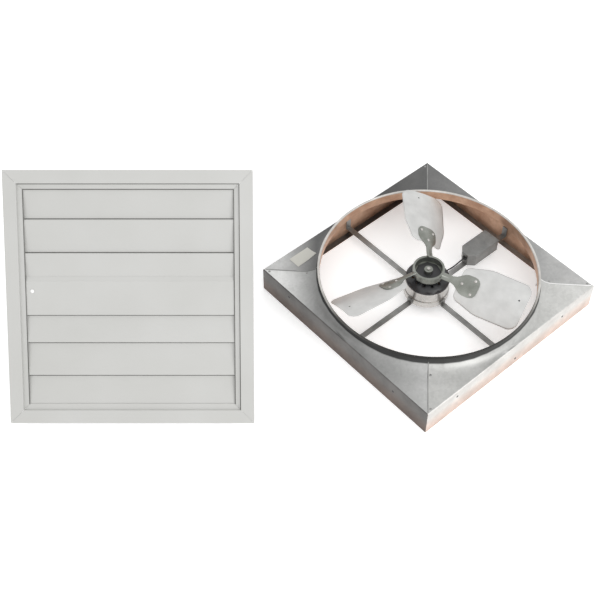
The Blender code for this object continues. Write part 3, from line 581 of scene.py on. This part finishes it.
def orifice_ring():
    """The orifice wall and its rolled bead, turned fine, with the ring's painted shade, and the inside's
    painted warm reflection on the wall.
    """
    top = SKIRT_DEPTH + THROAT_RISE + SEAT
    outer = ORIFICE_RADIUS + RING_WALL
    outline = [(outer, top), (outer, top - RING_DEPTH), (ORIFICE_RADIUS, top - RING_DEPTH)]
    for step in range(BEAD_STEPS + 1):
        turn = pi - pi * step / BEAD_STEPS
        bead = BEAD_RADIUS + BEAD_RADIUS * cos(turn)
        outline.append((ORIFICE_RADIUS + bead, top + BEAD_RADIUS * sin(turn)))
    shape = bmesh.new()
    corners = [shape.verts.new(FAN_CENTRE + Vector((radius, 0, height))) for radius, height in outline]
    edges = [shape.edges.new((corners[i - 1], corners[i])) for i in range(len(corners))]
    bmesh.ops.spin(shape, geom=corners + edges, cent=FAN_CENTRE, axis=SKYWARD, angle=2 * pi,
                   steps=RING_STEPS, use_merge=True)
    bmesh.ops.recalc_face_normals(shape, faces=shape.faces)
    made = settle("orifice_ring_skin", shape, "ring", "housing", ROLLED, ("orifice_ring",))
    made.data.materials.append(FINISHES["inside"])
    for face in made.data.polygons:
        inward = (FAN_CENTRE - face.center).to_2d().normalized().dot(face.normal.to_2d())
        if inward > RING_INWARD_LEAST and face.center.z < top - SEAT:
            face.material_index = 1


def seams(trees):
    """Lapped edges on the four diagonals, each with two rivets."""
    near = THROAT_RADIUS + SEAM_PAST_THROAT
    far = HALF_SIDE * sqrt(2) - SEAM_BEFORE_CORNER
    # Painted light on the seams: the three strut-coloured seams carry a painted shadow of the lapped edge,
    # the fourth, white one a painted highlight
    for i, finish in enumerate(("strut", "strut", "strut", "white_dot_and_highlight")):
        diagonal = (i + 0.5) * QUARTER
        directions = level_directions(diagonal)
        draped(trees, f"lap_seam_{i + 1}", fan_place((near + far) / 2, diagonal, 0), directions,
               (far - near, SEAM_WIDTH), SEAM_LIFT, finish)
        for number, radius in enumerate(SEAM_RIVETS_AT, 1):
            spot = fan_place(radius, diagonal, 0) + directions[1] * SEAM_RIVET_ASIDE
            spot.z = skin_height(trees, spot)
            rivet(f"seam_rivet_{i + 1}_{number}", spot, SKYWARD, SEAM_RIVET_RADIUS, "strut", "housing")


def skirt_screws():
    """Dark screws along each skirt; the second and fourth skirts have one more, set low."""
    for i in range(4):
        out, along = level_directions(i * QUARTER)
        places = SCREWS_AT + (LOW_SCREW_AT,) if i in (1, 3) else SCREWS_AT
        for number, (shift, height) in enumerate(places, 1):
            spot = FAN_CENTRE + out * HALF_SIDE + along * shift + SKYWARD * height
            rivet(f"skirt_screw_{i + 1}_{number}", spot, out, SCREW_RADIUS, "black", "housing", SCREW_SHARE)


def blank_plate(trees):
    """A bare plate on the far left panel."""
    draped(trees, "blank_plate", fan_place(PLATE_REACH, PLATE_TURN, 0), level_directions(0), PLATE_SIZE,
           PLATE_LIFT, "blank")


def pitch_at(radius):
    """A blade's pitch, which eases from root to tip."""
    share = (radius - BLADE_ROOT) / (BLADE_TIP - BLADE_ROOT)
    return ROOT_PITCH + (TIP_PITCH - ROOT_PITCH) * min(max(share, 0), 1)


def half_chord(radius):
    """Half a blade's width, which swells from its root to where it is full."""
    share = min(max((radius - BLADE_ROOT) / (FULL_CHORD_AT - BLADE_ROOT), 0), 1)
    eased = share * share * (3 - 2 * share)
    return ROOT_HALF_CHORD + (FULL_HALF_CHORD - ROOT_HALF_CHORD) * eased


def rounded_end(distance, corner):
    """How far a round corner draws the edge in at a distance from the end."""
    if distance >= corner:
        return 0
    return corner - sqrt(max(corner ** 2 - (corner - distance) ** 2, 0))


def blade_place(radius, across, lift, angle):
    """A point on the cambered, twisted blade surface at this blade's angle."""
    pitch = pitch_at(radius)
    share = across / half_chord(radius)
    rise = CAMBER * (1 - share * share) + lift
    point = Vector((radius, across * cos(pitch) - rise * sin(pitch),
                    BLADE_HEIGHT + across * sin(pitch) + rise * cos(pitch)))
    return FAN_CENTRE + Matrix.Rotation(angle, 3, "Z") @ point


def blade_skin(number, angle):
    """A fine paddle over one of the frame's own."""
    shape = bmesh.new()
    grid = bmesh.ops.create_grid(shape, x_segments=BLADE_STEPS[0], y_segments=BLADE_STEPS[1], size=0.5)
    for vert in grid["verts"]:
        share = (1 - cos(pi * (vert.co.x + 0.5))) / 2
        radius = BLADE_ROOT + (BLADE_TIP - BLADE_ROOT) * share
        half = half_chord(radius) - rounded_end(BLADE_TIP - radius, TIP_CORNER)
        half -= rounded_end(radius - BLADE_ROOT, ROOT_CORNER)
        vert.co = blade_place(radius, 2 * half * vert.co.y, BLADE_SHEET / 2, angle)
    face_upwards(shape)
    blade = settle(f"fan_blade_{number}_skin", shape, "blade", "fan_rotor", ROLLED,
                   (f"fan_blade_{number}",))
    wall = blade.modifiers.new("Sheet", "SOLIDIFY")
    wall.thickness = BLADE_SHEET
    wall.offset = -1


def blades():
    """The three blades, each with a black disc near its tip, painted as the shade seen through a hole, and
    three rivets on its arm.
    """
    top = BLADE_SHEET / 2
    for number, angle in enumerate(BLADE_ANGLES, 1):
        blade_skin(number, angle)
        # A flat black disc paints the shade seen through the hole near the tip
        radius, across = BLADE_HOLE_AT
        facing = (blade_place(radius, 0, 1, angle) - blade_place(radius, 0, 0, angle)).normalized()
        rivet(f"blade_hole_{number}", blade_place(radius, across, top, angle), facing, BLADE_HOLE_RADIUS,
              "black", "fan_rotor", BLADE_HOLE_SHARE)
        for place, (radius, across) in enumerate(ARM_RIVETS_AT, 1):
            spot = blade_place(radius, across, top + ARM_SEAT + ARM_SHEET, angle)
            rivet(f"arm_rivet_{number}_{place}", spot, facing, ARM_RIVET_RADIUS, "bright", "fan_rotor",
                  ARM_RIVET_SHARE)


def hub_recess():
    """A black eight-sided disc on the floor of the hub's recess."""
    shape = bmesh.new()
    bmesh.ops.create_cone(shape, cap_ends=True, segments=RECESS_SIDES, radius1=RECESS_FOOT,
                          radius2=RECESS_TOP, depth=RECESS_DISC_SHEET)
    middle = FAN_CENTRE + SKYWARD * (BLADE_HEIGHT - RECESS_DROP)
    bmesh.ops.translate(shape, vec=middle, verts=shape.verts)
    settle("hub_recess_disc", shape, "black", "fan_rotor", FLAT)


def fan_metal():
    """The spider, the motor with its band and lead, the wiring box and the struts."""
    for node, finish, edge, smooth in (
            ("blade_spider", "spider", SHARP, TURNED), ("motor_shell", "bright", SHELL_EDGE, TURNED),
            ("motor_top_bell", "black", SHARP, TURNED), ("motor_bottom_bell", "black", SHARP, TURNED),
            ("motor_band", "bright", BAND_EDGE, TURNED), ("motor_shaft", "bright", SHARP, TURNED),
            ("cord_grommet", "rubber", SHARP, ROLLED), ("motor_lead", "rubber", SHARP, ROUND),
            ("wiring_box", "box", BOX_EDGE, FOLDED), ("wiring_box_cover", "box", BOX_EDGE, FOLDED)):
        dressed(node, finish, edge, smooth)
    for i in range(4):
        dressed(f"strut_{i + 1}", "strut", SHELL_EDGE, FLAT)


def shutter_linkage():
    """The bar that joins each bank of louvers, and the spring that shuts them."""
    for bank in ("upper", "lower"):
        dressed(f"tie_bar_{bank}", "strut", BAR_EDGE, FOLDED)
        dressed(f"return_spring_{bank}", "bright", SHARP, ROUND)


def motor_inside():
    """Finishes for the solids inside the motor and the box, which keep their own meshes."""
    for node, finish in (("motor_stator", "copper"), ("motor_rotor", "bright"), ("top_bearing", "bright"),
                         ("bottom_bearing", "bright"), ("run_capacitor", "bright")):
        NODES[node].data.materials.clear()
        NODES[node].data.materials.append(FINISHES[finish])


def shutter_place(across, depth, height):
    """A point in the shutter's own frame: right, back, up, from the middle of its front face."""
    middle = (SHUTTER_TOP + SHUTTER_FOOT) / 2 - SHUTTER_BACK * SHEET
    return middle + SHUTTER_ACROSS * across + SHUTTER_BACK * depth + SHUTTER_UP * height


def depth_at(node, height):
    """How far behind the shutter's front face a frame solid's own face lies at a height."""
    hit = search_tree(node).ray_cast(shutter_place(0, -RAY_BEFORE, height), SHUTTER_BACK)[0]
    return (hit - shutter_place(0, 0, height)).dot(SHUTTER_BACK)


def thin_strip(name, middle, along, size, body):
    """A thin dark strip that faces forwards: length along, width across."""
    across = along.cross(SHUTTER_BACK).normalized()
    turn = Matrix((along.normalized(), across, -SHUTTER_BACK.normalized())).transposed().to_4x4()
    shape = bmesh.new()
    bmesh.ops.create_cube(shape, size=1)
    bmesh.ops.scale(shape, vec=(*size, THIN_STRIP_SHEET), verts=shape.verts)
    bmesh.ops.transform(shape, matrix=Matrix.Translation(middle) @ turn, verts=shape.verts)
    bmesh.ops.recalc_face_normals(shape, faces=shape.faces)
    return settle(name, shape, "shadow_line", body, FLAT)


def louver_shadow_lines():
    """Painted shadows: thin dark strips across the louvers' faces, each along the edge of what laps over it,
    where its shadow falls.
    """
    hinges = {i: (Vector(JOINTS[f"louver_hinge_{i}"]["pos_m"]) - shutter_place(0, 0, 0)).dot(SHUTTER_UP)
              for i in range(1, 7)}
    beside = CURL_RADIUS + SHADOW_LINE_WIDTH / 2
    heights = {1: hinges[2] + beside, 2: hinges[3] + beside,
               4: -CENTER_PANEL_HEIGHT / 2 - SHADOW_LINE_WIDTH / 2,
               5: hinges[4] - beside, 6: hinges[5] - beside}
    length = SHUTTER_WIDTH - 2 * (FLANGE + LIP)
    for number, height in heights.items():
        depth = depth_at(f"louver_{number}", height) - THIN_STRIP_SHEET
        thin_strip(f"louver_seal_{number}", shutter_place(0, depth, height), SHUTTER_ACROSS,
                   (length, SHADOW_LINE_WIDTH), f"louver_body_{number}")


def frame_shadow_lines():
    """Painted shade: thin dark lines on the lip, at the foot of the step and round the opening, on the sides
    where shade falls.
    """
    depth = LIP_RECESS - THIN_STRIP_SHEET
    for name, inset, sides in (("step", FLANGE + SHADOW_LINE_WIDTH / 2, ("top", "right")),
                               ("mouth", FLANGE + LIP - SHADOW_LINE_WIDTH / 2, ("top", "left", "right"))):
        wide = SHUTTER_WIDTH / 2 - inset
        high = SHUTTER_HEIGHT / 2 - inset
        lines = {"top": (0, high, SHUTTER_ACROSS, 2 * wide), "left": (-wide, 0, SHUTTER_UP, 2 * high),
                 "right": (wide, 0, SHUTTER_UP, 2 * high)}
        for side in sides:
            across, height, along, length = lines[side]
            thin_strip(f"{name}_seal_{side}", shutter_place(across, depth, height), along,
                       (length, SHADOW_LINE_WIDTH), "housing")


def mitre_cleats():
    """Thin painted plates behind the flange that close its mitred corners."""
    for number, (side, level) in enumerate(((1, 1), (-1, 1), (-1, -1), (1, -1)), 1):
        place = shutter_place(side * (SHUTTER_WIDTH - FLANGE) / 2, SHEET + THIN_STRIP_SHEET,
                              level * (SHUTTER_HEIGHT - FLANGE) / 2)
        cleat = thin_strip(f"mitre_cleat_{number}", place, SHUTTER_ACROSS * side + SHUTTER_UP * level,
                           (FLANGE, CLEAT_WIDTH), "housing")
        cleat.data.materials[0] = FINISHES["paint"]


def panel_slope():
    """The turned edge that eases the centre panel down onto the louver above it."""
    edge = CENTER_PANEL_HEIGHT / 2
    front = depth_at("center_panel", edge - PANEL_SLOPE / 2)
    behind = min(depth_at("louver_3", edge + PANEL_SLOPE * share) for share in SLOPE_CHECK_SHARES)
    behind -= SLOPE_GAP
    half = SHUTTER_WIDTH / 2 - FLANGE - LIP - SLOPE_GAP
    shape = bmesh.new()
    corners = [shape.verts.new(shutter_place(-half, depth, height))
               for depth, height in ((front, edge), (behind, edge + PANEL_SLOPE), (behind, edge))]
    end = shape.faces.new(corners)
    pulled = bmesh.ops.extrude_face_region(shape, geom=[end], use_keep_orig=True)
    moved = [item for item in pulled["geom"] if isinstance(item, bmesh.types.BMVert)]
    bmesh.ops.translate(shape, vec=SHUTTER_ACROSS * (2 * half), verts=moved)
    bmesh.ops.recalc_face_normals(shape, faces=shape.faces)
    settle("panel_slope", shape, "paint", "housing", FLAT)


def shutter():
    """The frame, the centre panel and the louvers, with their painted shadow lines, cleats and white dot."""
    for side in ("top", "bottom", "left", "right"):
        dressed(f"frame_rail_{side}", "paint", SHELL_EDGE, FLAT)
    dressed("center_panel", "paint", PANEL_EDGE, FLAT)
    for i in range(6):
        dressed(f"louver_{i + 1}", "paint", SHARP, FOLDED)
    louver_shadow_lines()
    frame_shadow_lines()
    mitre_cleats()
    panel_slope()
    # A small white dome on the centre panel, near its left end
    rivet("panel_white_dot", shutter_place(*WHITE_DOT_AT), -SHUTTER_BACK, WHITE_DOT_RADIUS, "white_dot_and_highlight", "housing",
          WHITE_DOT_SHARE)


def background_rays(tree):
    """One where a ray from the camera, a gloss or a clear piece meets the background, else zero."""
    path = add(tree, "ShaderNodeLightPath")
    level = path.outputs["Is Camera Ray"]
    for other in ("Is Glossy Ray", "Is Transmission Ray"):
        either = add(tree, "ShaderNodeMath", operation="MAXIMUM")
        tree.links.new(level, either.inputs[0])
        tree.links.new(path.outputs[other], either.inputs[1])
        level = either.outputs["Value"]
    return level


def floor():
    """A plain pale floor, lifted to white where it is seen and not where it lights the object."""
    shape = bmesh.new()
    bmesh.ops.create_grid(shape, x_segments=1, y_segments=1, size=FLOOR_SIZE / 2)
    mesh = bpy.data.meshes.new("floor")
    shape.to_mesh(mesh)
    shape.free()
    pale, tree, shader = node_tree("Pale floor")
    shader.inputs["Base Color"].default_value = grey(FLOOR_PALENESS)
    shader.inputs["Roughness"].default_value = FLOOR_ROUGHNESS
    shader.inputs["Emission Color"].default_value = grey(1)
    lift = add(tree, "ShaderNodeMath", operation="MULTIPLY")
    lift.inputs[1].default_value = FLOOR_LIFT
    tree.links.new(background_rays(tree), lift.inputs[0])
    tree.links.new(lift.outputs["Value"], shader.inputs["Emission Strength"])
    mesh.materials.append(pale)
    made = bpy.data.objects.new("floor", mesh)
    bpy.context.scene.collection.objects.link(made)


def sky():
    """A white world that is a little brighter to look at than it lights."""
    world = bpy.data.worlds.new("Studio")
    world.use_nodes = True
    tree = world.node_tree
    background = tree.nodes["Background"]
    background.inputs["Color"].default_value = grey(1)
    level = add(tree, "ShaderNodeMapRange")
    level.inputs["To Min"].default_value = SKY_LIGHT
    level.inputs["To Max"].default_value = SKY_SEEN
    tree.links.new(background_rays(tree), level.inputs["Value"])
    tree.links.new(level.outputs["Result"], background.inputs["Strength"])
    bpy.context.scene.world = world


def lamps():
    """Two large soft lamps, each with its place, what it points at and its power."""
    for name, (place, aim, power) in LAMPS.items():
        light = bpy.data.lights.new(name, "AREA")
        light.shape = "SQUARE"
        light.size = LAMP_SIZE
        light.energy = power
        made = bpy.data.objects.new(name, light)
        made.location = place
        made.rotation_euler = (Vector(aim) - Vector(place)).to_track_quat("-Z", "Y").to_euler()
        bpy.context.scene.collection.objects.link(made)


def camera():
    """The photograph's view: square to the front and well above it."""
    back = Vector((0, -cos(CAMERA_LOW), sin(CAMERA_LOW)))
    data = bpy.data.cameras.new("View")
    data.lens = CAMERA_LENS
    data.sensor_width = CAMERA_SENSOR
    made = bpy.data.objects.new("View", data)
    made.location = FAN_CENTRE + CAMERA_AIM + back * CAMERA_REACH
    made.rotation_euler = back.to_track_quat("Z", "Y").to_euler()
    bpy.context.scene.collection.objects.link(made)
    bpy.context.scene.camera = made
    bpy.context.scene.view_settings.view_transform = "Standard"


camera()
floor()
sky()
lamps()
panels()
orifice_ring()
PANEL_SKINS = [search_tree(f"housing_panel_{i + 1}") for i in range(4)]
seams(PANEL_SKINS)
skirt_screws()
blades()
hub_recess()
blank_plate(PANEL_SKINS)
fan_metal()
shutter_linkage()
motor_inside()
shutter()
